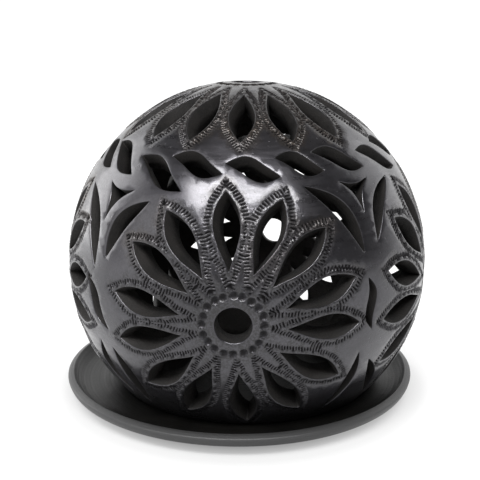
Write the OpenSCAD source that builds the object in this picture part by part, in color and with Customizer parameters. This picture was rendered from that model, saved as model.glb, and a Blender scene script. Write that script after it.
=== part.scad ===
// Pierced black clay globe lantern, standing in a shallow clay saucer.
// The globe is a thick-walled hollow ball, cut off flat and left open below, so that it can be
// lifted off its saucer and set down again over a candle.
//
// Lengths are in millimetres. The pattern is laid out on the ball in degrees: an azimuth of 0 faces
// the front (-Y) and grows towards +X, and a latitude of 0 is the ball's waist.
// The origin is on the table, under the middle of the saucer.

/* [Globe] */
// Outside radius of the ball
globe_r = 100; // [80:1:130]
// Thickness of the clay wall
globe_wall = 9; // [6:0.5:12]
// How far below its waist the ball is cut off flat, in degrees of latitude
base_angle = 43.6; // [36:0.1:44]
// Distance that the globe stands to the right of the saucer's middle
globe_shift = 4.5; // [0:0.5:8]
// Radius of the round hole in the middle of every flower
eye_r = 9; // [5:0.5:11]

/* [Saucer] */
// Thickness of the saucer's floor
floor_t = 6; // [4:0.5:10]
// Height of the rim above the floor
rim_rise = 6.5; // [4:0.5:15]
// Width from the edge of the flat floor out to the edge of the rim
rim_spread = 16; // [12:1:30]
// Width of the lip's top
lip_t = 4.5; // [3:0.5:6]
// Height of the upright outer face of the lip
lip_h = 5; // [3:0.5:8]
// Fall of the lip's top from its inner to its outer edge
lip_fall = 1.5; // [0.5:0.5:2.5]
// Free floor between the globe's base and the foot of the rim's slope
seat_gap = 7; // [2:0.5:20]
// Distance that the foot stands inside the edge of the flat floor
foot_inset = 12; // [4:1:20]

/* [Side flowers] */
// Petals in each side flower
side_petals = 14; // [10:1:15]
// Latitude of the flowers' centres
side_lat = -3.5; // [-5:0.5:0]
// Angle from a flower's centre to the inner tips of its petals
side_from = 15; // [14:0.5:18]
// Plain band left between the lowest petals and the base, in degrees of arc
plain_band = 3.1; // [3:0.1:8]
// Width of a petal, in degrees of arc
side_width = 7.4; // [5:0.1:8]

/* [Top flower] */
// Petals in the top flower
top_petals = 16; // [12:1:17]
// Angle from the top to the inner tips of the petals
top_from = 18; // [16:0.5:20]
// Angle from the top to the outer tips of the petals
top_to = 41; // [35:0.5:41.5]
// Width of a petal, in degrees of arc
top_width = 7.6; // [5:0.1:8.2]

/* [Leaves] */
// Width of a leaf in the sloping band under the top flower, in degrees of arc
band_width = 6.1; // [4.5:0.1:6.6]
// How far the sides of the three-cornered cuts curve in, in degrees of arc
triangle_hollow = 1.4; // [0.5:0.1:2]

/* [Hidden] */

// Where the side flowers' centres stand round the globe, as marked out by hand
flower_at = [0, 84, 172.5, 272];
// Direction of each side flower's first petal, and of the top flower's
first_side_petal = [94.3, 86, 87, 86];
first_top_petal = 271;
// How far each petal was cut away from its even place in the ring
petal_drift = [0, 0, 2.5, 1, 4, 1, 1, 0.5, -3, -1, -2, 0, -0.5, 3];
// Petals swell past their middle
petal_swell = 1.25;

// The band of sloping S-shaped leaves. Each is its azimuth, latitude, length and slope. The ten
// of one half turn are repeated in the other
band_leaves = [
    [6, 40, 15.5, -16], [23.5, 41.4, 14.5, -20], [41, 42, 17.5, -22], [64, 40, 19, -26],
    [80, 42.5, 17.5, -22], [97, 41, 17, -24], [113, 40.5, 18, -25], [128, 41, 20, -28],
    [151, 38, 20.5, -28], [165, 41.3, 16.5, -17],
];
band_sway = 0.9;

// The cuts that fill the corner between two side flowers, in two hands' versions that take turns.
// A leaf is its two tips, as azimuth from the corner's middle and latitude, then its width, its
// bow and its sway. The two lowest end a set height above the base. Between the heads of the two
// highest stands a three-cornered cut, given by its corners
corner_leaves = [
    [
        [[-18.7, 34.5], [-2, 14], 5, 3, 0],
        [[18.5, 34], [3, 16.5], 4.6, -2.4, 0],
        [[-2, 7], [0.5, -9], 3.6, 0, 1],
        [[-3, -15.5], [-8, 6.5 - base_angle], 3.4, 1.5, 0],
        [[2, -19.5], [11, 7.5 - base_angle], 3.6, 1, 0],
    ],
    [
        [[-18, 30.5], [-2.5, 7], 5.6, 3.2, 0],
        [[15, 29], [2, 11], 5.4, -2.6, 0],
        [[-7, 4], [2.5, -11], 4.6, 0, 1],
        [[-4, -16], [0, 7.5 - base_angle], 4.6, -2.6, 0],
        [[2, -17], [7.5, 5 - base_angle], 5, 1, 0],
    ],
];
corner_triangle = [
    [[-6, 35], [7.8, 35], [0.7, 24.8]],
    [[-6, 32.7], [8, 31.7], [-2, 21]],
];

// Each long side of a cut is broken into this many straight steps, and so is a quarter of an arc
edge_steps = 6;

// Millimetres on the ball's surface to one degree of arc
deg = globe_r * PI / 180;
// A cut starts well inside the wall, yet not so deep that it meets the cuts beside it
cut_from = 0.86 * (globe_r - globe_wall);
cut_depth = globe_r - cut_from + 1;
base_drop = globe_r * sin(base_angle);
base_r = globe_r * cos(base_angle);
// The lowest petal of a side flower ends where the plain band begins, and the others match it
side_to = base_angle + side_lat - plain_band;
globe_z = floor_t + base_drop;
floor_r = base_r + globe_shift + seat_gap;
saucer_r = floor_r + rim_spread;
foot_r = floor_r - foot_inset;
rim_z = floor_t + rim_rise;

// Share of its full width that a leaf has at t, from 0 at one tip to 1 at the other
function fullness(t, swell) = 4 * pow(t, swell) * (1 - pow(t, swell));

// A point of a leaf's long side. bow curves the whole leaf to one side, and sway bends it like an S
function leaf_point(t, side, len, wid, bow, sway, swell) = [
    (t - 0.5) * len,
    bow * sin(180 * t) + sway * sin(360 * t) + side * wid / 2 * fullness(t, swell)
];

// Closed outline of a leaf that lies along X
function leaf(len, wid, bow = 0, sway = 0, swell = 1) = [
    for (i = [0:2 * edge_steps - 1]) let (
        side = i < edge_steps ? 1 : -1,
        t = (side > 0 ? i : 2 * edge_steps - i) / edge_steps
    ) leaf_point(t, side, len, wid, bow, sway, swell)
];

// Outline of a triangle whose sides curve inwards
function hollow_triangle(corners, hollow) = let (middle = (corners[0] + corners[1] + corners[2]) / 3) [
    for (k = [0:2], i = [0:edge_steps - 1]) let (
        a = corners[k],
        b = corners[(k + 1) % 3],
        t = i / edge_steps,
        inward = middle - (a + b) / 2
    ) a + t * (b - a) + hollow * sin(180 * t) * inward / norm(inward)
];

// Puts a flat shape on the ball: X points east, Y north and Z straight out of the wall
module on_globe(azimuth, latitude) {
    rotate([90 - latitude, 0, azimuth]) children();
}

// Cuts a flat outline, given in degrees of arc, through the wall
module through_wall(outline) {
    translate([0, 0, cut_from]) linear_extrude(cut_depth) polygon(outline * deg);
}

// The round hole and the ring of petals of one flower, round the Z axis
module flower(count, from, to, width, first) {
    translate([0, 0, cut_from]) cylinder(r = eye_r, h = cut_depth, $fn = 96);
    for (i = [0:count - 1])
        rotate([0, 0, first - i * 360 / count + petal_drift[i % len(petal_drift)]])
            rotate([0, (from + to) / 2, 0])
                through_wall(leaf(to - from, width, swell = petal_swell));
}

// A leaf that runs from one point of the ball, [azimuth, latitude], to another
module leaf_between(a, b, width, bow, sway) {
    middle = (a + b) / 2;
    reach = [(b[0] - a[0]) * cos(middle[1]), b[1] - a[1]];
    on_globe(middle[0], middle[1])
        rotate([0, 0, atan2(reach[1], reach[0])])
            through_wall(leaf(norm(reach), width, bow = bow, sway = sway));
}

// The leaves and the three-cornered cut between two side flowers
module corner_cuts(azimuth, version) {
    for (cut = corner_leaves[version])
        leaf_between(cut[0] + [azimuth, 0], cut[1] + [azimuth, 0], cut[2], cut[3], cut[4]);
    corners = corner_triangle[version];
    latitude = (corners[0][1] + corners[2][1]) / 2;
    flat = [for (p = corners) [p[0] * cos(p[1]), p[1] - latitude]];
    on_globe(azimuth, latitude) through_wall(hollow_triangle(flat, triangle_hollow));
}

module leaf_band() {
    for (turn = [0, 180], cut = band_leaves)
        on_globe(turn + cut[0], cut[1])
            rotate([0, 0, cut[3]])
                through_wall(leaf(cut[2], band_width, sway = band_sway));
}

module globe() {
    color("#3d3d40") translate([globe_shift, 0, globe_z]) difference() {
        sphere(r = globe_r, $fn = 180);
        sphere(r = globe_r - globe_wall, $fn = 180);
        translate([0, 0, -base_drop - globe_r]) cylinder(r = 2 * globe_r, h = globe_r, $fn = 96);
        flower(top_petals, top_from, top_to, top_width, first_top_petal);
        for (i = [0:3])
            on_globe(flower_at[i], side_lat)
                flower(side_petals, side_from, side_to, side_width, first_side_petal[i]);
        for (i = [0:3]) {
            next = i < 3 ? flower_at[i + 1] : flower_at[0] + 360;
            corner_cuts((flower_at[i] + next) / 2, i % 2);
        }
        leaf_band();
    }
}

module saucer() {
    lip_inner = saucer_r - lip_t;
    lip_outer_z = rim_z - lip_fall;
    quarter = [for (i = [0:edge_steps]) 90 * i / edge_steps];
    underside = [for (a = quarter)
        [foot_r + (saucer_r - foot_r) * (1 - cos(a)), (lip_outer_z - lip_h) * sin(a)]];
    inside = [for (a = quarter)
        [floor_r + (lip_inner - floor_r) * cos(a), floor_t + rim_rise * (1 - sin(a))]];
    color("#34342f") rotate_extrude($fn = 180)
        polygon(concat([[0, 0]], underside, [[saucer_r, lip_outer_z]], inside, [[0, floor_t]]));
}

globe();
saucer();
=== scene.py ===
import math

import bpy
import numpy as np
from mathutils import Matrix, Vector
from mathutils.geometry import delaunay_2d_cdt


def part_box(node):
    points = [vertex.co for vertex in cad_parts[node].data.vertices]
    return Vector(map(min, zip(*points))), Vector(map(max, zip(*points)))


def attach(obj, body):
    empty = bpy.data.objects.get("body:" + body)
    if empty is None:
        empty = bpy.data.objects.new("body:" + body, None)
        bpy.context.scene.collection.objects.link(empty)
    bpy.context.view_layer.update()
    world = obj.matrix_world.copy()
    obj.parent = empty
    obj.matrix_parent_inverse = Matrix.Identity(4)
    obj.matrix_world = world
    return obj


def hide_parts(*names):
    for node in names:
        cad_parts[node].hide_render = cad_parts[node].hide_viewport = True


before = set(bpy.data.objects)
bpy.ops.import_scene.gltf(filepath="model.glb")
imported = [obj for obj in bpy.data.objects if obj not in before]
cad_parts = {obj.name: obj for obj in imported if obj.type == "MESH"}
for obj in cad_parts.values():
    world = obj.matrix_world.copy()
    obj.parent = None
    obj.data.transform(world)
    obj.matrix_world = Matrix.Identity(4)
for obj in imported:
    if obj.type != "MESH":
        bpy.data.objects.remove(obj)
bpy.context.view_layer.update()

# ---------------------------------------------------------------------------------------------
# The camera: a long lens a little above the lantern, turned slightly so that the front flower
# stands left of the middle.

saucer_high = Vector(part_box("saucer")[1])
globe_low, globe_high = (Vector(c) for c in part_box("globe"))
ball_radius = (globe_high.x - globe_low.x) / 2
CUT_ANGLE = 43.6
ball_centre = Vector((
    (globe_low.x + globe_high.x) / 2, 0,
    globe_low.z + ball_radius * math.sin(math.radians(CUT_ANGLE)),
))

camera_turn = math.radians(3.7)
camera_rise = math.radians(15.4)
camera_distance = 5.0625 * ball_radius
away = Vector((
    math.sin(camera_turn) * math.cos(camera_rise),
    -math.cos(camera_turn) * math.cos(camera_rise),
    math.sin(camera_rise),
))
camera_data = bpy.data.cameras.new("camera")
camera_data.sensor_width = 36
camera_data.lens = 66.15
camera = bpy.data.objects.new("camera", camera_data)
camera.location = ball_centre + away * camera_distance
# The lens looks a little above and to the left of the ball's middle
AIM_LEFT = math.radians(0.447)
AIM_UP = math.radians(1.123)
aim = Matrix.Rotation(AIM_LEFT, 3, "Y") @ Matrix.Rotation(AIM_UP, 3, "X")
camera.rotation_euler = (away.to_track_quat("Z", "Y").to_matrix() @ aim).to_euler()
bpy.context.scene.collection.objects.link(camera)
bpy.context.scene.camera = camera

# ---------------------------------------------------------------------------------------------
# The studio: a white paper sweep that runs up behind the lantern, a wide soft light overhead in
# front, and white cards at the sides that put the pale edges on the ball.

SWEEP_FRONT = -4.0
SWEEP_DEPTH = 2.2
SWEEP_WIDTH = 8.0
SWEEP_HEIGHT = 5.0
SWEEP_BEND = 1.2
sweep_line = [(SWEEP_FRONT, 0.0), (SWEEP_DEPTH, 0.0)]
sweep_line += [(SWEEP_DEPTH + SWEEP_BEND * math.sin(a), SWEEP_BEND * (1 - math.cos(a)))
               for a in np.linspace(0, math.pi / 2, 13)[1:]]
sweep_line += [(SWEEP_DEPTH + SWEEP_BEND, SWEEP_HEIGHT)]
sweep_mesh = bpy.data.meshes.new("studio_sweep")
sweep_mesh.from_pydata(
    [(side * SWEEP_WIDTH / 2, y, z) for y, z in sweep_line for side in (-1, 1)], [],
    [(2 * i, 2 * i + 1, 2 * i + 3, 2 * i + 2) for i in range(len(sweep_line) - 1)])
sweep_mesh.polygons.foreach_set("use_smooth", [True] * len(sweep_mesh.polygons))
sweep = bpy.data.objects.new("studio_sweep", sweep_mesh)
bpy.context.scene.collection.objects.link(sweep)

# The paper glows by itself, so that it is white to the horizon. Its glow is little under the
# saucer and more further out, a painted shadow round the saucer's foot that stays soft. Each stop
# is a distance and the glow there.
PAINTED_SHADOW_GLOW_START = (0.08, 0.24)
PAINTED_SHADOW_GLOW_STOPS = ((0.1, 0.62), (0.115, 0.82), (0.14, 0.92))
paper = bpy.data.materials.new("studio_paper")
paper.use_nodes = True
paper_shader = paper.node_tree.nodes["Principled BSDF"]
paper_shader.inputs["Base Color"].default_value = (0.22, 0.22, 0.22, 1)
paper_shader.inputs["Roughness"].default_value = 0.9
paper_shader.inputs["Specular IOR Level"].default_value = 0.1
paper_shader.inputs["Emission Strength"].default_value = 1
paper_place = paper.node_tree.nodes.new("ShaderNodeTexCoord")
paper_reach = paper.node_tree.nodes.new("ShaderNodeVectorMath")
paper_reach.operation = "LENGTH"
# This ramp paints the shadow: the dimmest glow is under the saucer's lip, and the full glow is
# further out.
paper_painted_shadow_glow = paper.node_tree.nodes.new("ShaderNodeValToRGB")
ramp = paper_painted_shadow_glow.color_ramp
ramp.interpolation = "EASE"
ramp.elements[0].position = PAINTED_SHADOW_GLOW_START[0]
ramp.elements[0].color = (PAINTED_SHADOW_GLOW_START[1], PAINTED_SHADOW_GLOW_START[1], PAINTED_SHADOW_GLOW_START[1], 1)
for reach, glow in PAINTED_SHADOW_GLOW_STOPS:
    ramp.elements.new(reach).color = (glow, glow, glow, 1)
paper.node_tree.links.new(paper_place.outputs["Object"], paper_reach.inputs[0])
paper.node_tree.links.new(paper_reach.outputs["Value"], paper_painted_shadow_glow.inputs["Fac"])
paper.node_tree.links.new(paper_painted_shadow_glow.outputs["Color"], paper_shader.inputs["Emission Color"])
sweep_mesh.materials.append(paper)

# A dim room all round, dimmest towards the front right
world = bpy.data.worlds.new("studio_air")
bpy.context.scene.world = world
world.use_nodes = True
air = world.node_tree
facing = air.nodes.new("ShaderNodeTexCoord")
rearward = air.nodes.new("ShaderNodeVectorMath")
rearward.operation = "DOT_PRODUCT"
rearward.inputs[1].default_value = (-0.5, 0.87, 0)
air.links.new(facing.outputs["Generated"], rearward.inputs[0])
dimming = air.nodes.new("ShaderNodeMapRange")
dimming.interpolation_type = "SMOOTHSTEP"
dimming.inputs["From Min"].default_value = -0.9
dimming.inputs["From Max"].default_value = 0.1
dimming.inputs["To Min"].default_value = 0.45
dimming.inputs["To Max"].default_value = 1.0
air.links.new(rearward.outputs["Value"], dimming.inputs["Value"])
air.links.new(dimming.outputs["Result"], air.nodes["Background"].inputs["Strength"])


def soft_light(name, place, size, power):
    """An area light that faces the lantern."""
    data = bpy.data.lights.new(name, "AREA")
    data.shape = "RECTANGLE"
    data.size, data.size_y = size
    data.energy = power
    lamp = bpy.data.objects.new(name, data)
    lamp.location = place
    lamp.rotation_euler = (Vector(place) - ball_centre).to_track_quat("Z", "Y").to_euler()
    bpy.context.scene.collection.objects.link(lamp)


soft_light("front_softbox", (-0.06, -0.8, 1.1), (1.25, 0.36), 28)
soft_light("left_card", (-1.3, 0.5, 0.5), (0.9, 1.2), 11)
soft_light("left_fill", (-1.2, -0.8, 0.5), (1.2, 1.0), 6)
soft_light("right_card", (1.3, 0.7, 0.6), (0.9, 1.2), 5)
bpy.context.scene.view_settings.view_transform = "Standard"

# ---------------------------------------------------------------------------------------------
# The globe's pattern: five flowers, a band of sloping leaves under the top one, and groups of
# leaves between the side flowers. It is marked out on the ball in degrees and cut while the clay
# is leather hard, so every cut strays a little from its even place.

WALL = 0.009
EYE_RADIUS = 0.009
# The side flowers' height on the ball, and the plain band between their petals and the flat cut
SIDE_LATITUDE = -3.5
PLAIN_BAND = 3.1
flower_azimuths = [0, 84, 172.5, 272]
side_flower = dict(count=14, start=15, stop=CUT_ANGLE + SIDE_LATITUDE - PLAIN_BAND, width=7.4)
top_flower = dict(count=16, start=18, stop=41, width=7.6)
first_side_petal = [94.3, 86, 87, 86]
first_top_petal = 271
petal_drift = [0, 0, 2.5, 1, 4, 1, 1, 0.5, -3, -1, -2, 0, -0.5, 3]
PETAL_SWELL = 1.25
# Each leaf of half the band: azimuth, latitude, length and slope
band_leaves = [
    (6, 40, 15.5, -16), (23.5, 41.4, 14.5, -20), (41, 42, 17.5, -22), (64, 40, 19, -26),
    (80, 42.5, 17.5, -22), (97, 41, 17, -24), (113, 40.5, 18, -25), (128, 41, 20, -28),
    (151, 38, 20.5, -28), (165, 41.3, 16.5, -17),
]
BAND_WIDTH = 6.1
BAND_SWAY = 0.9
# Each leaf between two side flowers: upper and lower tip, width, and how far its middle line
# bows and sways. The two groups take turns round the ball.
corner_leaves = [
    [
        ((-18.7, 34.5), (-2, 14), 5, 3, 0),
        ((18.5, 34), (3, 16.5), 4.6, -2.4, 0),
        ((-2, 7), (0.5, -9), 3.6, 0, 1),
        ((-3, -15.5), (-8, 6.5 - CUT_ANGLE), 3.4, 1.5, 0),
        ((2, -19.5), (11, 7.5 - CUT_ANGLE), 3.6, 1, 0),
    ],
    [
        ((-18, 30.5), (-2.5, 7), 5.6, 3.2, 0),
        ((15, 29), (2, 11), 5.4, -2.6, 0),
        ((-7, 4), (2.5, -11), 4.6, 0, 1),
        ((-4, -16), (0, 7.5 - CUT_ANGLE), 4.6, -2.6, 0),
        ((2, -17), (7.5, 5 - CUT_ANGLE), 5, 1, 0),
    ],
]
corner_triangles = [
    [(-6, 35), (7.8, 35), (0.7, 24.8)],
    [(-6, 32.7), (8, 31.7), (-2, 21)],
]
TRIANGLE_HOLLOW = 1.4

degree = ball_radius * math.pi / 180
chance = np.random.default_rng(11)


def turn_x(angle):
    c, s = math.cos(math.radians(angle)), math.sin(math.radians(angle))
    return np.array([[1, 0, 0], [0, c, -s], [0, s, c]])


def turn_y(angle):
    c, s = math.cos(math.radians(angle)), math.sin(math.radians(angle))
    return np.array([[c, 0, s], [0, 1, 0], [-s, 0, c]])


def turn_z(angle):
    c, s = math.cos(math.radians(angle)), math.sin(math.radians(angle))
    return np.array([[c, -s, 0], [s, c, 0], [0, 0, 1]])


def on_ball(azimuth, latitude):
    """Axes at a point of the ball: X east, Y north, Z straight out."""
    return turn_z(azimuth) @ turn_x(90 - latitude)


def even_spacing(points, step):
    """The same line with points about a step apart, its ends kept."""
    reach = np.concatenate([[0], np.cumsum(np.linalg.norm(np.diff(points, axis=0), axis=1))])
    where = np.linspace(0, reach[-1], max(4, int(round(reach[-1] / step))) + 1)
    return np.stack([np.interp(where, reach, points[:, k]) for k in range(2)], axis=1)


LEAF_STEP = 0.0012
TRIANGLE_STEP = 0.0013


def leaf_outline(length, width, bow=0.0, sway=0.0, swell=1.0):
    """Closed outline of a leaf along X, in metres, from sizes in degrees of arc."""
    t = np.linspace(0, 1, 81)
    fullness = 4 * t**swell * (1 - t**swell)
    middle = bow * np.sin(np.pi * t) + sway * np.sin(2 * np.pi * t)
    sides = []
    for side in (1, -1):
        line = np.stack([(t - 0.5) * length, middle + side * width / 2 * fullness], axis=1)
        sides.append(even_spacing(line * degree, LEAF_STEP))
    return np.concatenate([sides[0], sides[1][-2:0:-1]])


def triangle_outline(corners, hollow):
    """Closed outline of a triangle whose sides curve inwards."""
    corners = np.array(corners, float)
    middle = corners.mean(axis=0)
    t = np.linspace(0, 1, 41)[:, None]
    sides = []
    for k in range(3):
        a, b = corners[k], corners[(k + 1) % 3]
        inward = middle - (a + b) / 2
        line = a + t * (b - a) + hollow * np.sin(np.pi * t) * inward / np.linalg.norm(inward)
        sides.append(even_spacing(line * degree, TRIANGLE_STEP)[:-1])
    return np.concatenate(sides)


# How much shorter and narrower each cut is on the inside
STRAIGHT = np.array([1, 1])
PETAL_NARROWING = np.array([0.83, 0.68])
LEAF_NARROWING = np.array([0.93, 0.8])
# The band's leaves were cut from above, so on the inside they come out lower
BAND_LEAN = np.array([0, -0.0022])
cuts = []
petals = []
eyes = []


def add_flower(axes, count, start, stop, width, first):
    """An eye and a ring of petals round it, which reach from start to stop."""
    eyes.append(axes)
    around = np.linspace(0, 2 * np.pi, 49)[:-1]
    cuts.append(dict(axes=axes, edge=0.0007, narrowing=STRAIGHT,
                     outline=EYE_RADIUS * np.stack([np.cos(around), np.sin(around)], axis=1)))
    for i in range(count):
        direction = first - i * 360 / count + petal_drift[i % len(petal_drift)]
        petal_axes = axes @ turn_z(direction) @ turn_y((start + stop) / 2)
        outline = leaf_outline(stop - start, width, swell=PETAL_SWELL)
        cuts.append(dict(axes=petal_axes, edge=0.0003, narrowing=PETAL_NARROWING, outline=outline))
        petals.append(dict(axes=petal_axes, length=(stop - start) * degree, width=width * degree,
                           beside=(len(eyes) - 1, i, (i + 1) % count),
                           rise=math.sin(math.radians(direction))))


add_flower(on_ball(0, 90), first=first_top_petal, **top_flower)
for azimuth, first in zip(flower_azimuths, first_side_petal):
    add_flower(on_ball(azimuth, SIDE_LATITUDE), first=first, **side_flower)

for half_turn in (0, 180):
    for azimuth, latitude, length, slope in band_leaves:
        leaf_axes = on_ball(azimuth + half_turn, latitude) @ turn_z(slope)
        cuts.append(dict(axes=leaf_axes, edge=0.00035, narrowing=LEAF_NARROWING, lean=BAND_LEAN,
                         outline=leaf_outline(length, BAND_WIDTH, sway=BAND_SWAY)))

for i, azimuth in enumerate(flower_azimuths):
    following = flower_azimuths[i + 1] if i < 3 else flower_azimuths[0] + 360
    corner = (azimuth + following) / 2
    for upper, lower, width, bow, sway in corner_leaves[i % 2]:
        latitude = (upper[1] + lower[1]) / 2
        reach = ((lower[0] - upper[0]) * math.cos(math.radians(latitude)), lower[1] - upper[1])
        slope = math.degrees(math.atan2(reach[1], reach[0]))
        middle_axes = on_ball(corner + (upper[0] + lower[0]) / 2, latitude) @ turn_z(slope)
        cuts.append(dict(axes=middle_axes, edge=0.00035, narrowing=LEAF_NARROWING,
                         outline=leaf_outline(math.hypot(*reach), width, bow, sway)))
    corners = corner_triangles[i % 2]
    latitude = (corners[0][1] + corners[2][1]) / 2
    flat = [(a * math.cos(math.radians(b)), b - latitude) for a, b in corners]
    cuts.append(dict(axes=on_ball(corner, latitude), edge=0.00035, narrowing=LEAF_NARROWING,
                     outline=triangle_outline(flat, TRIANGLE_HOLLOW)))

# ---------------------------------------------------------------------------------------------
# The tool marks: round each petal a smooth raised rim, then a row of short strokes pressed square
# to it, which run to a point and meet the next petal's row. Round each eye is a ring of dots.

RIM_WIDTH = 0.0017
RIM_HEIGHT = 0.0004
STROKE_LENGTH = 0.0026
STROKE_PITCH = 0.00145
STROKE_DEPTH = 0.0009
# How far past the rim a stroke comes to its full depth, and how far before its end it loses it
STROKE_START = 0.0004
STROKE_FADE = 0.0008
STROKES_PER_ROW = 128
MARK_REACH = 0.036
INNER_TAPER = 0.35
DOT_RING = 8.6
DOTS = 20
DOT_RADIUS = 0.0023
DOT_DEPTH = 0.0011


def smooth_step(low, high, value):
    t = np.clip((value - low) / (high - low), 0, 1)
    return t * t * (3 - 2 * t)


def petal_half_width(petal, x):
    """Half width and slope of a petal at x, its sides carried on straight past the tips."""
    length, half = petal["length"], petal["width"] / 2
    t = np.clip(x / length + 0.5, 1e-6, 1)
    u = t**PETAL_SWELL
    height = half * 4 * u * (1 - u)
    slope = half / length * 4 * PETAL_SWELL * t ** (PETAL_SWELL - 1) * (1 - 2 * u)
    outer_slope = -half / length * 4 * PETAL_SWELL
    before, after = x < -length / 2, x > length / 2
    height = np.where(before, INNER_TAPER * (x + length / 2), height)
    height = np.where(after, outer_slope * (x - length / 2), height)
    return height, np.where(before, INNER_TAPER, np.where(after, outer_slope, slope))


def petal_distance(petal, x, y):
    """Distance out from a petal's side, and the place along that side, for points beside it."""
    foot = x
    for _ in range(4):
        height, slope = petal_half_width(petal, foot)
        steep = np.sqrt(1 + slope**2)
        out = (np.abs(y) - height + slope * (foot - x)) / steep
        foot = x + out * slope / steep
    return out, foot


# The two rows between neighbouring petals were pressed in step, so their strokes meet
rows = {}
for petal in petals:
    run = np.linspace(-petal["length"], petal["length"], 400)
    height, _ = petal_half_width(petal, run)
    petal["run"] = run
    petal["along"] = np.concatenate([[0], np.cumsum(np.hypot(np.diff(run), np.diff(height)))])
    flower, *neighbours = petal["beside"]
    petal["rows"] = []
    for number in neighbours:
        larger = max(0, petal["rise"]) if flower else 0.3
        row = dict(number=len(rows), pitch=STROKE_PITCH * chance.normal(1 + 0.1 * larger, 0.04),
                   shift=chance.uniform(0, STROKE_PITCH), tilt=chance.normal(0.2, 0.15),
                   end=RIM_WIDTH + STROKE_LENGTH * (1 + 0.25 * larger))
        petal["rows"].append(rows.setdefault((flower, number), row))
row_of = np.array([[row["number"] for row in petal["rows"]] for petal in petals])
row_values = {name: np.array([row[name] for row in rows.values()])
              for name in ("pitch", "shift", "tilt", "end")}

# Each stroke's depth, and how far its outer end falls short
stroke_force = chance.uniform(0.75, 1.15, (len(rows), STROKES_PER_ROW))
stroke_short = chance.uniform(-0.0002, 0.0005, (len(rows), STROKES_PER_ROW))

petal_out = np.array([p["axes"][:, 2] for p in petals])
dots = []
for axes in eyes:
    for k in range(DOTS):
        direction = k * 360 / DOTS + chance.uniform(-1.5, 1.5)
        dots.append(axes @ turn_z(direction) @ turn_y(DOT_RING + chance.uniform(-0.15, 0.15)))
dot_out = np.array([d[:, 2] for d in dots])
eye_out = np.array([axes[:, 2] for axes in eyes])


def arc_to(points, directions):
    """Distance over the ball from each point to the nearest of some directions."""
    cosines = (points / ball_radius) @ directions.T
    return np.arccos(np.clip(cosines, -1, 1)).min(axis=1) * ball_radius


def nearest_petal(points):
    """For points on the ball: distance out from the nearest petal, place along it, which petal
    and which side of it, and the distance from the next nearest."""
    best = np.full(len(points), 1.0)
    place = np.zeros(len(points))
    side = np.zeros(len(points), int)
    owner = np.full(len(points), -1)
    second = np.full(len(points), 1.0)
    for k, petal in enumerate(petals):
        near = np.nonzero(points @ petal_out[k] > ball_radius * math.cos(math.radians(24)))[0]
        local = points[near] @ petal["axes"]
        out, foot = petal_distance(petal, local[:, 0], local[:, 1])
        run = np.interp(foot, petal["run"], petal["along"])
        closer = out < best[near]
        second[near] = np.where(closer, best[near], np.minimum(second[near], out))
        best[near] = np.where(closer, out, best[near])
        place[near] = np.where(closer, run, place[near])
        side[near] = np.where(closer, local[:, 1] < 0, side[near])
        owner[near] = np.where(closer, k, owner[near])
    return best, place, owner, side, second


waves = chance.normal(size=(14, 3))
waves /= np.linalg.norm(waves, axis=1)[:, None]
wave_length = chance.uniform(0.018, 0.06, 14)
wave_start = chance.uniform(0, 2 * np.pi, 14)


def unevenness(points):
    """Slow rise and fall that burnishing by hand leaves, between about -1 and 1."""
    phase = points @ waves.T * (2 * np.pi / wave_length) + wave_start
    return (np.sin(phase) * np.sqrt(wave_length)).sum(axis=1) / np.sqrt(wave_length).sum() * 2


def relief(points):
    """Height of the worked surface over the plain ball, how deep in a mark a point lies, and
    whether it lies on a rim, in a row of strokes or by an eye."""
    out, place, owner, side, second = nearest_petal(points)
    row = row_of[owner, side]
    pitch, shift, tilt, end = (row_values[name][row] for name in ("pitch", "shift", "tilt", "end"))
    rim = RIM_HEIGHT * np.exp(-(((out - RIM_WIDTH / 2) / (RIM_WIDTH * 0.45)) ** 2))
    turn = (place - shift + tilt * (out - RIM_WIDTH)) / pitch
    number = np.floor(turn).astype(int)
    end = end - stroke_short[row, number % STROKES_PER_ROW]
    reach = smooth_step(RIM_WIDTH, RIM_WIDTH + STROKE_START, out)
    reach *= 1 - smooth_step(end - STROKE_FADE, end, out)
    reach *= smooth_step(9.9 * degree, 10.4 * degree, arc_to(points, eye_out))
    reach *= smooth_step(0.0002, 0.0007, second - out)
    groove = smooth_step(0.1, 0.44, 0.5 - np.abs(turn - number - 0.5))
    stroke = reach * groove * stroke_force[row, number % STROKES_PER_ROW]
    dot_near = arc_to(points, dot_out)
    pit = np.sqrt(np.clip(1 - (dot_near / DOT_RADIUS) ** 2, 0, 1))
    lip = np.exp(-(((dot_near - DOT_RADIUS * 1.1) / 0.0003) ** 2))
    height = rim - STROKE_DEPTH * stroke - DOT_DEPTH * pit + 0.00012 * lip
    height += 0.00025 * unevenness(points)
    worked = 1 - smooth_step(end, end + STROKE_FADE, out)
    worked = np.maximum(worked, 1 - smooth_step(10 * degree, 13 * degree, arc_to(points, eye_out)))
    # The mark value made here later darkens the colour in strokes and dots, which is painted
    # shade.
    return height, np.clip(stroke + 0.52 * pit, 0, 1), worked


# ---------------------------------------------------------------------------------------------
# The globe: one thick shell of burnished clay. Its outer skin, the walls of every cut, the rough
# inside and the flat base ring are one closed mesh, laid out flat for triangulation and put back
# on the ball.

INSIDE_RADIUS = ball_radius - WALL
# The knife leans a little, so each cut comes out inside this far towards the maker's right
SLANT = 0.0014
# How far the knife wanders off an even line
KNIFE_WANDER = 0.00012
# Distances between mesh points: on the rims, past the strokes, on plain clay and on the inside
RIM_SPACING = 0.002
END_SPACING = 0.0014
PLAIN_SPACING = 0.0037
INSIDE_SPACING = 0.0075
BASE_POINTS = 300
BASE_EDGE = 0.0008
base_height = -ball_radius * math.sin(math.radians(CUT_ANGLE))


def flatten(directions):
    """Stereographic map of the ball from its lowest point, which keeps small shapes true."""
    unit = directions / np.linalg.norm(directions, axis=1)[:, None]
    return unit[:, :2] / (1 + unit[:, 2:3])


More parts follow.
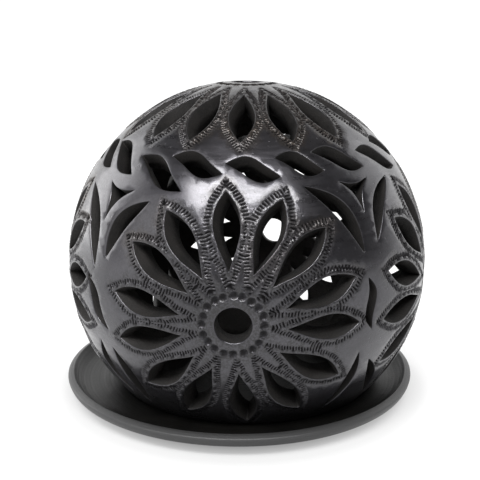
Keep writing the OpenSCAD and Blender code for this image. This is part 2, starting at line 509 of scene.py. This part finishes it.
def area_of(outline):
    """Area inside an outline, below zero where it runs clockwise."""
    x, y = outline[:, 0], outline[:, 1]
    return (x * np.roll(y, -1) - y * np.roll(x, -1)).sum() / 2


def offset_outline(outline, distance):
    """The outline pushed outwards, mitred at its tips."""
    before = outline - np.roll(outline, 1, axis=0)
    after = np.roll(outline, -1, axis=0) - outline
    sideways = []
    for edge in (before, after):
        edge = edge / np.linalg.norm(edge, axis=1)[:, None]
        sideways.append(np.stack([edge[:, 1], -edge[:, 0]], axis=1))
    both = sideways[0] + sideways[1]
    both /= np.linalg.norm(both, axis=1)[:, None]
    stretch = 1 / np.clip((both * sideways[0]).sum(axis=1), 0.4, 1)
    return outline + both * (stretch * distance * math.copysign(1, area_of(outline)))[:, None]


def lift(cut, flat, radius):
    """Points of a cut's flat outline, put straight up onto a ball of some radius."""
    height = np.sqrt(radius**2 - (flat**2).sum(axis=1))
    return np.column_stack([flat, height]) @ cut["axes"].T


def inside_loops(points_flat, loops_flat):
    """Which flat points lie inside one of the closed loops."""
    hit = np.zeros(len(points_flat), bool)
    for loop in loops_flat:
        low, high = loop.min(axis=0), loop.max(axis=0)
        near = np.nonzero(((points_flat >= low) & (points_flat <= high)).all(axis=1))[0]
        if not len(near):
            continue
        px, py = points_flat[near, 0], points_flat[near, 1]
        odd = np.zeros(len(near), bool)
        x0, y0 = loop[:, 0], loop[:, 1]
        x1, y1 = np.roll(x0, -1), np.roll(y0, -1)
        for k in range(len(loop)):
            crosses = (y0[k] > py) != (y1[k] > py)
            if crosses.any():
                at = x0[k] + (py - y0[k]) / (y1[k] - y0[k]) * (x1[k] - x0[k])
                odd ^= crosses & (px < at)
        hit[near] |= odd
    return hit


def triangulate(loops, free_points, rim_loop):
    """Triangles over all points of a skin, with the loops left open. Returns points, triangles
    and, for each loop, where its points are. The last loop is the skin's outer edge."""
    everything = np.concatenate(loops + [rim_loop, free_points])
    edges = []
    start = 0
    places = []
    for loop in loops + [rim_loop]:
        n = len(loop)
        places.append(np.arange(start, start + n))
        edges += [(start + k, start + (k + 1) % n) for k in range(n)]
        start += n
    flat = flatten(everything)
    made = delaunay_2d_cdt([Vector(p) for p in flat.tolist()], edges, [], 0, 1e-9, True)
    out_flat, _, triangles, origin, _, _ = made
    if len(out_flat) != len(everything):
        raise RuntimeError(f"cuts cross: {len(out_flat)} points from {len(everything)}")
    back = np.array([o[0] for o in origin])
    triangles = back[np.array(triangles)]
    centres = flat[triangles].mean(axis=1)
    keep = ~inside_loops(centres, [flatten(loop) for loop in loops])
    keep &= inside_loops(centres, [flat[places[-1]]])
    return everything, triangles[keep], places


def spread(radius, spacing, lowest):
    """Evenly scattered points over a ball, above a height."""
    count = int(4 * math.pi * radius**2 / (spacing**2 * 0.866))
    k = np.arange(count) + 0.5
    z = 1 - 2 * k / count
    turn = k * math.pi * (3 - math.sqrt(5))
    flat = np.sqrt(1 - z * z)
    ball = radius * np.column_stack([flat * np.cos(turn), flat * np.sin(turn), z])
    return ball[ball[:, 2] > lowest]


# Every cut's outline, with a little of the knife's wandering
for cut in cuts:
    outline = cut["outline"]
    n = len(outline)
    around = np.arange(n) / n * 2 * np.pi
    wander = sum(chance.normal() * np.sin(m * around + chance.uniform(0, 6.28)) / m
                 for m in (2, 3, 5, 8))
    sideways = offset_outline(outline, 1.0) - outline
    cut["outline"] = outline + sideways * (KNIFE_WANDER * wander[:, None])
    cut["outer"] = offset_outline(cut["outline"], cut["edge"])

# Points of the outer skin
loops = [lift(cut, cut["outer"], ball_radius) for cut in cuts]
base_turn = np.linspace(0, 2 * np.pi, BASE_POINTS + 1)[:-1]
base_ring = np.column_stack([np.cos(base_turn), np.sin(base_turn)])
skin_base_z = base_height + BASE_EDGE
skin_base = np.column_stack([base_ring * math.sqrt(ball_radius**2 - skin_base_z**2),
                             np.full(BASE_POINTS, skin_base_z)])

# The marks need points of their own: a line along the rim's top and foot, four points across each
# stroke at both its ends, and a line past the ends
free = []
for k, petal in enumerate(petals):
    run, along = petal["run"], petal["along"]
    for side, row in zip((1, -1), petal["rows"]):
        pitch, end = row["pitch"], row["end"]
        first = math.ceil((along[0] - row["shift"]) / pitch)
        last = math.floor((along[-1] - row["shift"]) / pitch)
        stroke_turn = (np.arange(first, last)[:, None] + [0, 0.2, 0.5, 0.8]).ravel()
        inner_end, outer_end = RIM_WIDTH + STROKE_START, end - 0.0009
        for out in (RIM_WIDTH * 0.5, RIM_WIDTH, inner_end, outer_end, end + 0.0002):
            if out in (inner_end, outer_end):
                places = stroke_turn * pitch + row["shift"] - row["tilt"] * (out - RIM_WIDTH)
            else:
                spacing = END_SPACING if out > end else RIM_SPACING
                places = np.arange(along[0], along[-1], spacing)
            foot = np.interp(places, along, run)
            height, slope = petal_half_width(petal, foot)
            steep = np.sqrt(1 + slope**2)
            x, y = foot - slope / steep * out, height + out / steep
            good = (y > 0.0002) & (x**2 + y**2 < MARK_REACH**2)
            flat = np.column_stack([x[good], side * y[good]])
            points = lift(petal, flat, ball_radius)
            away_from, _, owner, _, second = nearest_petal(points)
            near = (owner == k) & (np.abs(away_from - out) < 0.0002)
            near &= second - away_from > 0.0003
            free.append(points[near])
            if out != inner_end:
                continue
            # The seam that stays between two rows, halfway to the next petal
            to_seam = (second - away_from) / 2 - 0.00014
            near &= (to_seam > 0.0004) & (out + to_seam < end) & (np.arange(len(near)) % 3 == 0)
            across = np.column_stack([-slope, np.full(len(slope), side)]) / steep[:, None]
            seam = flat[near] + across[good][near] * to_seam[near][:, None]
            free.append(lift(petal, seam, ball_radius))
for spot in dots:
    local = [(0, 0)]
    for radius, count in ((0.5, 6), (0.82, 10), (1, 14), (1.2, 12)):
        a = np.linspace(0, 2 * np.pi, count + 1)[:-1] + radius
        local += list(zip(radius * DOT_RADIUS * np.cos(a), radius * DOT_RADIUS * np.sin(a)))
    local = np.array(local)
    free.append(lift(dict(axes=spot), local, ball_radius))
mark_points = np.concatenate(free)

plain = spread(ball_radius, PLAIN_SPACING, skin_base_z + 0.001)
far_out = nearest_petal(plain)[0]
plain = plain[far_out > RIM_WIDTH + STROKE_LENGTH + 0.0012]
plain = plain[arc_to(plain, dot_out) > DOT_RADIUS * 1.35 + 0.0008]
is_dot = arc_to(mark_points, dot_out) < DOT_RADIUS * 1.36
mark_points = mark_points[is_dot | (arc_to(mark_points, eye_out) > 10.2 * degree)]
candidates = np.concatenate([mark_points, plain])
candidates = candidates[candidates[:, 2] > skin_base_z + 0.0006]
clear_of = [flatten(lift(cut, offset_outline(cut["outer"], 0.0004), ball_radius)) for cut in cuts]
candidates = candidates[~inside_loops(flatten(candidates), clear_of)]

skin, skin_triangles, skin_places = triangulate(loops, candidates, skin_base)
skin_height, depth_in_mark, worked_skin = relief(skin)
skin_lifted = skin + skin / ball_radius * skin_height[:, None]
skin_lifted[skin_places[-1]] = skin[skin_places[-1]]

# Points of the inside, where the potter's fingers left it uneven
inward = INSIDE_RADIUS / ball_radius
for cut in cuts:
    east = np.cross([0, 0, 1], cut["axes"][:, 2])
    east = (east / max(0.3, np.linalg.norm(east))) @ cut["axes"]
    cut["inner"] = cut["outline"] * inward * cut["narrowing"] + cut.get("lean", 0)
    if cut["narrowing"] is not STRAIGHT:
        cut["inner"] += SLANT * east[:2]
inner_loops = [lift(cut, cut["inner"], INSIDE_RADIUS) for cut in cuts]
inner_base = np.column_stack([base_ring * math.sqrt(INSIDE_RADIUS**2 - base_height**2),
                              np.full(BASE_POINTS, base_height)])
inner_free = spread(INSIDE_RADIUS, INSIDE_SPACING, base_height + 0.003)
clear_inner = [flatten(lift(cut, offset_outline(cut["inner"], 0.0015), INSIDE_RADIUS))
               for cut in cuts]
inner_free = inner_free[~inside_loops(flatten(inner_free), clear_inner)]
inner, inner_triangles, inner_places = triangulate(inner_loops, inner_free, inner_base)
inner_lifted = inner * (1 + 0.006 * unevenness(inner * 1.7)[:, None])
inner_lifted[inner_places[-1]] = inner_base

# The walls of the cuts: a rounded outer edge, then through the clay to the smaller opening inside.
# Each face is one of three kinds.
SKIN = 0
CUT_FACE = 1
INSIDE = 2
parts = [skin_lifted, inner_lifted]
marks = [np.column_stack([depth_in_mark, worked_skin]), np.zeros((len(inner), 2))]
total = len(skin) + len(inner)
faces = [skin_triangles, inner_triangles[:, ::-1] + len(skin)]
kinds = [np.full(len(skin_triangles), SKIN), np.full(len(inner_triangles), INSIDE)]


def join_rings(rings, kind):
    """Faces between closed rings of vertex numbers, from the outermost inwards."""
    for near, far in zip(rings, rings[1:]):
        a, b, c, d = near, np.roll(near, -1), np.roll(far, -1), far
        faces.append(np.concatenate([np.stack([a, b, c], axis=1), np.stack([a, c, d], axis=1)]))
        kinds.append(np.full(2 * len(near), kind))


def add_ring(points):
    """Puts a ring of new vertices into the mesh and returns their numbers."""
    global total
    parts.append(points)
    marks.append(np.zeros((len(points), 2)))
    numbers = np.arange(total, total + len(points))
    total += len(points)
    return numbers


for cut, outer_ring, inner_ring in zip(cuts, skin_places, inner_places):
    edge = cut["edge"]
    rise = skin_height[outer_ring]
    rings = [outer_ring]
    for angle in (45, 90):
        out = edge * (1 - math.sin(math.radians(angle)))
        down = edge * (1 - math.cos(math.radians(angle)))
        ring = lift(cut, offset_outline(cut["outline"], out), ball_radius)
        rings.append(add_ring(ring * (1 + (rise - down) / ball_radius)[:, None]))
    start, end = parts[-1], inner_lifted[inner_ring]
    chatter = 1 + 0.0012 * chance.normal(size=(len(start), 1))
    rings.append(add_ring((start + end) / 2 * chatter))
    rings.append(inner_ring + len(skin))
    if area_of(cut["outer"]) < 0:
        rings = [ring[::-1] for ring in rings]
    join_rings(rings[:3], SKIN)
    join_rings(rings[2:], CUT_FACE)

# The flat base ring, its outer edge rounded
base_rings = [skin_places[-1]]
base_radius = math.sqrt(ball_radius**2 - base_height**2)
for outward, up in ((0.0001, 0.0003), (-0.0006, 0)):
    base_rings.append(add_ring(np.column_stack([base_ring * (base_radius + outward),
                                                np.full(BASE_POINTS, base_height + up)])))
base_rings.append(inner_places[-1] + len(skin))
join_rings([ring[::-1] for ring in base_rings], CUT_FACE)

points = np.concatenate(parts) + np.array(ball_centre)
triangles = np.concatenate(faces)
kinds = np.concatenate(kinds)
mark_values = np.concatenate(marks)

globe_mesh = bpy.data.meshes.new("clay_globe")
globe_mesh.vertices.add(len(points))
globe_mesh.vertices.foreach_set("co", points.ravel())
globe_mesh.loops.add(3 * len(triangles))
globe_mesh.loops.foreach_set("vertex_index", triangles.ravel())
globe_mesh.polygons.add(len(triangles))
globe_mesh.polygons.foreach_set("loop_start", np.arange(0, 3 * len(triangles), 3))
globe_mesh.polygons.foreach_set("material_index", kinds)
globe_mesh.polygons.foreach_set("use_smooth", np.ones(len(triangles), bool))
for column, name in enumerate(("pressed", "worked")):
    attribute = globe_mesh.attributes.new(name, "FLOAT", "POINT")
    attribute.data.foreach_set("value", np.ascontiguousarray(mark_values[:, column]))
globe_mesh.update(calc_edges=True)
globe_mesh.validate()
clay_globe = bpy.data.objects.new("clay_globe", globe_mesh)
bpy.context.scene.collection.objects.link(clay_globe)

# Materials of the globe


def add_node(tree, kind, place, **values):
    """Adds a node. Values whose names are inputs set those, and the others its properties."""
    node = tree.nodes.new(kind)
    node.location = place
    for name, value in values.items():
        socket = node.inputs.get(name.replace("_", " "))
        if socket is not None:
            socket.default_value = value
        else:
            setattr(node, name, value)
    return node


def mix_colours(tree, place, amount, first, second):
    """A Mix node between two colours, either of them a socket or plain numbers."""
    node = add_node(tree, "ShaderNodeMix", place, data_type="RGBA")
    for number, value in ((0, amount), (6, first), (7, second)):
        if isinstance(value, bpy.types.NodeSocket):
            tree.links.new(value, node.inputs[number])
        else:
            node.inputs[number].default_value = value
    return node.outputs[2]


def map_range(tree, place, value, low, high, to_low, to_high):
    """A Map Range node from one span of a value to another."""
    node = add_node(tree, "ShaderNodeMapRange", place, From_Min=low, From_Max=high,
                    To_Min=to_low, To_Max=to_high)
    tree.links.new(value, node.inputs["Value"])
    return node.outputs["Result"]


def sum_of(tree, place, first, second, weight):
    """First plus second times a weight."""
    node = add_node(tree, "ShaderNodeMath", place, operation="MULTIPLY_ADD")
    tree.links.new(second, node.inputs[0])
    node.inputs[1].default_value = weight
    tree.links.new(first, node.inputs[2])
    return node.outputs[0]


def product_of(tree, place, first, second):
    """Two values multiplied."""
    node = add_node(tree, "ShaderNodeMath", place, operation="MULTIPLY")
    tree.links.new(first, node.inputs[0])
    tree.links.new(second, node.inputs[1])
    return node.outputs[0]


def clay_body_group():
    """What all the fired clay shows: fine grain, broad smoke clouds, and rare small pits."""
    tree = bpy.data.node_groups.new("clay_body", "ShaderNodeTree")
    for name, value in (("Grain Size", 0.0008), ("Cloud Size", 0.03)):
        socket = tree.interface.new_socket(name, in_out="INPUT", socket_type="NodeSocketFloat")
        socket.default_value = value
    for name in ("Grain", "Clouds", "Pits"):
        tree.interface.new_socket(name, in_out="OUTPUT", socket_type="NodeSocketFloat")
    entry = add_node(tree, "NodeGroupInput", (-900, 0))
    leave = add_node(tree, "NodeGroupOutput", (600, 0))
    where = add_node(tree, "ShaderNodeTexCoord", (-900, 300))
    scales = {}
    for row, name in enumerate(("Grain Size", "Cloud Size")):
        per_size = add_node(tree, "ShaderNodeMath", (-650, -200 * row), operation="DIVIDE")
        per_size.inputs[0].default_value = 1
        tree.links.new(entry.outputs[name], per_size.inputs[1])
        scales[name] = per_size.outputs[0]
    grain = add_node(tree, "ShaderNodeTexNoise", (-350, 200), Detail=5, Roughness=0.6)
    clouds = add_node(tree, "ShaderNodeTexNoise", (-350, -100), Detail=4, Roughness=0.55,
                      Distortion=0.4)
    pits = add_node(tree, "ShaderNodeTexVoronoi", (-350, -400), Scale=260, Randomness=1)
    for node, scale in ((grain, "Grain Size"), (clouds, "Cloud Size")):
        tree.links.new(where.outputs["Object"], node.inputs["Vector"])
        tree.links.new(scales[scale], node.inputs["Scale"])
    tree.links.new(where.outputs["Object"], pits.inputs["Vector"])
    tree.links.new(grain.outputs["Fac"], leave.inputs["Grain"])
    clouded = map_range(tree, (0, -100), clouds.outputs["Fac"], 0.3, 0.7, 0, 1)
    tree.links.new(clouded, leave.inputs["Clouds"])
    pitted = map_range(tree, (0, -400), pits.outputs["Distance"], 0.05, 0.14, 1, 0)
    tree.links.new(pitted, leave.inputs["Pits"])
    return tree


def clay_material(name, group_values):
    """A material with one placed clay_body group, returned with its shader and that group."""
    material = bpy.data.materials.new(name)
    material.use_nodes = True
    tree = material.node_tree
    body = add_node(tree, "ShaderNodeGroup", (-900, 0), node_tree=clay_body)
    for socket, value in group_values.items():
        body.inputs[socket].default_value = value
    return material, tree, tree.nodes["Principled BSDF"], body


def dress(tree, colour, dull, surface, strength, distance):
    """Gives a material its colour, its roughness and its fine unevenness."""
    shader = tree.nodes["Principled BSDF"]
    tree.links.new(colour, shader.inputs["Base Color"])
    tree.links.new(dull, shader.inputs["Roughness"])
    bump = add_node(tree, "ShaderNodeBump", (-100, -300), Strength=strength, Distance=distance)
    tree.links.new(surface, bump.inputs["Height"])
    tree.links.new(bump.outputs["Normal"], shader.inputs["Normal"])


clay_body = clay_body_group()

# The burnished skin: rubbed with a smooth stone before firing, so it is a satin near-black with
# streaks where the stone went, and dull where the tools pressed through the shine. The strokes and
# dots are also painted near-black: painted shade in their hollows, partly the duller clay there.
BURNISHED_DARK = (0.042, 0.041, 0.0465, 1)
BURNISHED_PALE = (0.077, 0.0745, 0.084, 1)
BROWN_TINT = (0.075, 0.059, 0.047, 1)
GRAIN_DARK = (0.022, 0.021, 0.021, 1)
MARK_PAINTED_SHADE = (0.005, 0.0045, 0.005, 1)
burnished, tree, shader, body = clay_material(
    "burnished_clay", {"Grain Size": 0.0011, "Cloud Size": 0.035})
where = add_node(tree, "ShaderNodeTexCoord", (-1300, -300))
stretch = add_node(tree, "ShaderNodeMapping", (-1100, -300), Scale=(60, 60, 420),
                   Rotation=(0.5, 0.3, 0))
tree.links.new(where.outputs["Object"], stretch.inputs["Vector"])
streaks = add_node(tree, "ShaderNodeTexNoise", (-900, -300), Scale=1, Detail=3, Roughness=0.5,
                   Distortion=0.6)
tree.links.new(stretch.outputs["Vector"], streaks.inputs["Vector"])
tint = add_node(tree, "ShaderNodeTexNoise", (-900, -600), Scale=22, Detail=2)
tree.links.new(where.outputs["Object"], tint.inputs["Vector"])
pressed_node = add_node(tree, "ShaderNodeAttribute", (-900, -800), attribute_name="pressed")
worked_node = add_node(tree, "ShaderNodeAttribute", (-900, -1000), attribute_name="worked")
apart = add_node(tree, "ShaderNodeSeparateXYZ", (-900, -1200))
tree.links.new(where.outputs["Object"], apart.inputs["Vector"])
cloudy = mix_colours(tree, (-600, 200), body.outputs["Clouds"], BURNISHED_DARK, BURNISHED_PALE)
# The smoke left a brown tint here and there, on the worked clay of the upper half
tint_patches = map_range(tree, (-700, -600), tint.outputs["Fac"], 0.4, 0.62, 0, 0.8)
tint_where_worked = map_range(tree, (-700, -1000), worked_node.outputs["Fac"], 0, 1, 0.1, 1)
tint_higher_up = map_range(tree, (-700, -1200), apart.outputs["Z"], 0.085, 0.12, 0, 1)
tint_amount = product_of(tree, (-400, -700), tint_higher_up,
                         product_of(tree, (-500, -600), tint_patches, tint_where_worked))
tinted = mix_colours(tree, (-400, 200), tint_amount, cloudy, BROWN_TINT)
# The grain shows most where the stone couldn't rub
grain = map_range(tree, (-700, 500), body.outputs["Grain"], 0.4, 0.58, 0.1, 0.8)
grain_where_worked = map_range(tree, (-700, 700), worked_node.outputs["Fac"], 0, 1, 0.3, 1)
grainy = product_of(tree, (-500, 500), grain, grain_where_worked)
grained = mix_colours(tree, (-300, 400), grainy, tinted, GRAIN_DARK)
# Painted shade: the strokes and dots take a near-black colour for the shade in their hollows,
# partly also the unrubbed clay.
mark_shade_amount = map_range(tree, (-600, -800), pressed_node.outputs["Fac"], 0.15, 0.6, 0, 1)
coloured = mix_colours(tree, (-200, 200), mark_shade_amount, grained, MARK_PAINTED_SHADE)
dull = map_range(tree, (-600, 0), streaks.outputs["Fac"], 0.35, 0.65, 0.23, 0.34)
dull = sum_of(tree, (-400, 0), dull, body.outputs["Clouds"], 0.06)
dull = sum_of(tree, (-300, 0), dull, pressed_node.outputs["Fac"], 0.3)
dull = sum_of(tree, (-200, 0), dull, grainy, 0.12)
surface = sum_of(tree, (-400, -300), streaks.outputs["Fac"], body.outputs["Grain"], 0.6)
surface = sum_of(tree, (-300, -400), surface, body.outputs["Pits"], -1.2)
surface = sum_of(tree, (-200, -500), surface, grainy, -1.2)
dress(tree, coloured, dull, surface, strength=0.4, distance=0.0002)
# Polished black clay shines like graphite, so its colour tints the reflections, and the rubbed
# surface has a clearer sheen over that, which the tools broke
sheen = map_range(tree, (-200, -700), pressed_node.outputs["Fac"], 0, 0.4, 0.55, 0)
tree.links.new(sheen, shader.inputs["Coat Weight"])
shader.inputs["Coat Roughness"].default_value = 0.2
shader.inputs["Metallic"].default_value = 0.85
shader.inputs["Specular IOR Level"].default_value = 0.5


def bare_clay(name, group_values, colours, dulls, roughening, gloss):
    """Clay that was never rubbed: cloudy, dull, and rough with grain."""
    material, tree, shader, body = clay_material(name, group_values)
    colour = mix_colours(tree, (-400, 200), body.outputs["Clouds"], *colours)
    dull = map_range(tree, (-400, 0), body.outputs["Grain"], 0.3, 0.7, *dulls)
    dress(tree, colour, dull, body.outputs["Grain"], *roughening)
    shader.inputs["Specular IOR Level"].default_value = gloss
    return material


# The walls of the cuts: bare clay as the knife left it, dull and a little browner
CUT_DARK = (0.007, 0.0065, 0.0063, 1)
CUT_PALE = (0.017, 0.0152, 0.0142, 1)
cut_clay = bare_clay("cut_clay", {"Grain Size": 0.0009, "Cloud Size": 0.012},
                     (CUT_DARK, CUT_PALE), (0.55, 0.8), (0.6, 0.0004), 0.28)

# The inside: finger-smoothed, never burnished, and sooty
SOOT_DARK = (0.009, 0.0085, 0.008, 1)
SOOT_PALE = (0.022, 0.02, 0.019, 1)
inner_clay = bare_clay("inner_clay", {"Grain Size": 0.0014, "Cloud Size": 0.02},
                       (SOOT_DARK, SOOT_PALE), (0.7, 0.95), (0.8, 0.0006), 0.25)

for material in (burnished, cut_clay, inner_clay):
    globe_mesh.materials.append(material)

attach(clay_globe, "globe")
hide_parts("globe")

# ---------------------------------------------------------------------------------------------
# The saucer: a wheel-thrown shallow dish of the same clay with a flat floor and a low flared rim,
# which ends in a rounded lip. It was wiped, not burnished, except along the lip.

SAUCER_FLOOR = 0.006
RIM_SPREAD = 0.016
LIP_WIDTH = 0.0045
LIP_HEIGHT = 0.005
LIP_FALL = 0.0015
FOOT_INSET = 0.012
LIP_ROUNDING = 0.0013
# How far the curve under the rim draws back in below the lip
UNDER_TUCK = 0.0018
# The throwing rings' depth on the floor, and how much deeper they are on the slope
RING_DEPTH = 0.00002
SLOPE_RING_DEPTH = 0.00012
SAUCER_TURNS = 240

saucer_radius = saucer_high.x
rim_height = saucer_high.z
floor_radius = saucer_radius - RIM_SPREAD
foot_radius = floor_radius - FOOT_INSET
lip_inner = saucer_radius - LIP_WIDTH
lip_outer_z = rim_height - LIP_FALL


def rounded_line(corners, rounding, step):
    """An open line through corners, each (x, z), with the inner corners rounded off."""
    corners = [np.array(c, float) for c in corners]
    line = [corners[0]]
    for before, corner, after in zip(corners, corners[1:], corners[2:]):
        to_before, to_after = before - corner, after - corner
        cut_back = min(rounding, np.linalg.norm(to_before) / 2.1, np.linalg.norm(to_after) / 2.1)
        start = corner + to_before / np.linalg.norm(to_before) * cut_back
        end = corner + to_after / np.linalg.norm(to_after) * cut_back
        for t in np.linspace(0, 1, 6):
            line.append((1 - t) ** 2 * start + 2 * t * (1 - t) * corner + t * t * end)
    line.append(corners[-1])
    return even_spacing(np.array(line), step)


# From the middle outwards: the flat floor, the bowl's slope, which runs on over the lip without
# a crease, the lip's rounded front and the curve back in under it to the foot
floor_across = np.arange(0.002, floor_radius, 0.0016)
floor_line = np.column_stack([floor_across, np.full(len(floor_across), SAUCER_FLOOR)])
bowl_bends = np.array([(floor_radius, SAUCER_FLOOR), (floor_radius + 0.007, SAUCER_FLOOR),
                       (lip_inner - 0.0015, rim_height - 0.0038), (lip_inner + 0.001, rim_height)])
along_bowl = np.linspace(0, 1, 25)[:, None]
to_go = 1 - along_bowl
bowl = (to_go ** 3 * bowl_bends[0] + 3 * along_bowl * to_go ** 2 * bowl_bends[1]
        + 3 * along_bowl * along_bowl * to_go * bowl_bends[2] + along_bowl ** 3 * bowl_bends[3])
bowl_line = even_spacing(bowl[:-1], 0.0008)
quarter = np.radians(np.linspace(0, 90, 13))
under = np.column_stack([foot_radius + (saucer_radius - foot_radius) * (1 - np.cos(quarter)),
                         (lip_outer_z - LIP_HEIGHT) * np.sin(quarter)])
under[:, 0] -= UNDER_TUCK * smooth_step(0, 1, np.linspace(0, 1, len(under)))
lip = rounded_line([bowl[-2], bowl[-1], (saucer_radius, lip_outer_z - 0.0002),
                    (saucer_radius - 0.0004, lip_outer_z - 0.0022), under[-1], under[-2]],
                   LIP_ROUNDING, 0.0004)
under_line = even_spacing(under[-2::-1], 0.0016)
profile = np.concatenate([floor_line, bowl_line, lip[1:-1], under_line])

# Throwing rings in the bowl and on the floor, deepest on the slope
ring_starts = chance.uniform(0, 2 * np.pi, 3)
radius = profile[:, 0]
ripple = sum(np.sin(2 * np.pi * radius / pitch + start)
             for pitch, start in zip((0.0031, 0.0047, 0.0081), ring_starts)) / 3
upper_side = np.arange(len(profile)) < len(floor_line) + len(bowl_line) - 1
on_slope = smooth_step(0, 0.004, radius - floor_radius)
on_slope *= 1 - smooth_step(-0.002, 0, radius - lip_inner)
ripple *= RING_DEPTH + SLOPE_RING_DEPTH * on_slope
level = profile[:, 1] + np.where(upper_side, ripple, 0)

# Thrown by hand, so the rim wobbles a little out and up as it goes round
turns = np.linspace(0, 2 * np.pi, SAUCER_TURNS + 1)[:-1]
wobble = 0.00015 * np.sin(2 * turns + 0.7) + 0.0001 * np.sin(3 * turns + 2.1)
wobble += 0.00006 * np.sin(7 * turns)
# Drawn in by about as much as it wobbles, to keep it to its full width
WOBBLE_ROOM = 0.0003
outer_share = smooth_step(floor_radius, saucer_radius, radius)
saucer_rows = []
for turn, out in zip(turns, wobble):
    across = radius + outer_share * (out - WOBBLE_ROOM)
    saucer_rows.append(np.stack([
        across * math.cos(turn),
        across * math.sin(turn),
        np.maximum(level + outer_share * out * 0.8, 0),
    ], axis=1))
# The last two points close its middle, above and below
row_length = len(profile)
upper_middle = SAUCER_TURNS * row_length
lower_middle = upper_middle + 1
saucer_points = np.concatenate(saucer_rows + [[[0, 0, SAUCER_FLOOR], [0, 0, 0]]])
saucer_faces = []
for i in range(SAUCER_TURNS):
    here = i * row_length
    beyond = (i + 1) % SAUCER_TURNS * row_length
    saucer_faces += [(here + k + 1, beyond + k + 1, beyond + k, here + k)
                     for k in range(row_length - 1)]
    saucer_faces.append((upper_middle, here, beyond))
    saucer_faces.append((lower_middle, beyond + row_length - 1, here + row_length - 1))
saucer_mesh = bpy.data.meshes.new("clay_saucer")
saucer_mesh.from_pydata(saucer_points.tolist(), [], saucer_faces)
saucer_mesh.polygons.foreach_set("use_smooth", [True] * len(saucer_mesh.polygons))
saucer_mesh.update()
clay_saucer = bpy.data.objects.new("clay_saucer", saucer_mesh)
bpy.context.scene.collection.objects.link(clay_saucer)

# Wiped clay, a little olive, with fine rings from the wheel. Its very dark colour is partly the
# clay's own near-black and partly painted shade, standing in for the shade the globe throws over
# the bowl. The lip is painted pale, a painted highlight along it.
WIPED_PAINTED_SHADE_DARK = (0.0015, 0.0014, 0.0013, 1)
WIPED_PAINTED_SHADE_PALE = (0.005, 0.0048, 0.0043, 1)
LIP_PAINTED_HIGHLIGHT = (0.045, 0.045, 0.0455, 1)
wiped, tree, shader, body = clay_material(
    "wiped_clay", {"Grain Size": 0.001, "Cloud Size": 0.025})
where = add_node(tree, "ShaderNodeTexCoord", (-1500, -300))
apart = add_node(tree, "ShaderNodeSeparateXYZ", (-1300, -300))
tree.links.new(where.outputs["Object"], apart.inputs["Vector"])
level_place = add_node(tree, "ShaderNodeCombineXYZ", (-1100, -300))
tree.links.new(apart.outputs["X"], level_place.inputs["X"])
tree.links.new(apart.outputs["Y"], level_place.inputs["Y"])
from_middle = add_node(tree, "ShaderNodeVectorMath", (-900, -300), operation="LENGTH")
tree.links.new(level_place.outputs["Vector"], from_middle.inputs[0])
wheel = add_node(tree, "ShaderNodeTexNoise", (-700, -300), noise_dimensions="1D", Scale=700,
                 Detail=3)
tree.links.new(from_middle.outputs["Value"], wheel.inputs["W"])
on_lip = map_range(tree, (-700, -600), from_middle.outputs["Value"],
                   lip_inner - 0.002, saucer_radius - 0.0008, 0, 1)
cloudy = mix_colours(tree, (-500, 200), body.outputs["Clouds"], WIPED_PAINTED_SHADE_DARK, WIPED_PAINTED_SHADE_PALE)
# The lip's paler colour is a painted highlight.
coloured = mix_colours(tree, (-300, 200), on_lip, cloudy, LIP_PAINTED_HIGHLIGHT)
dull = map_range(tree, (-500, 0), wheel.outputs["Fac"], 0.3, 0.7, 0.28, 0.4)
dull = sum_of(tree, (-300, 0), dull, on_lip, 0.03)
surface = sum_of(tree, (-400, -300), wheel.outputs["Fac"], body.outputs["Grain"], 0.8)
dress(tree, coloured, dull, surface, strength=0.5, distance=0.00025)
shader.inputs["Specular IOR Level"].default_value = 0.3
saucer_mesh.materials.append(wiped)

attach(clay_saucer, "saucer")
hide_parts("saucer")
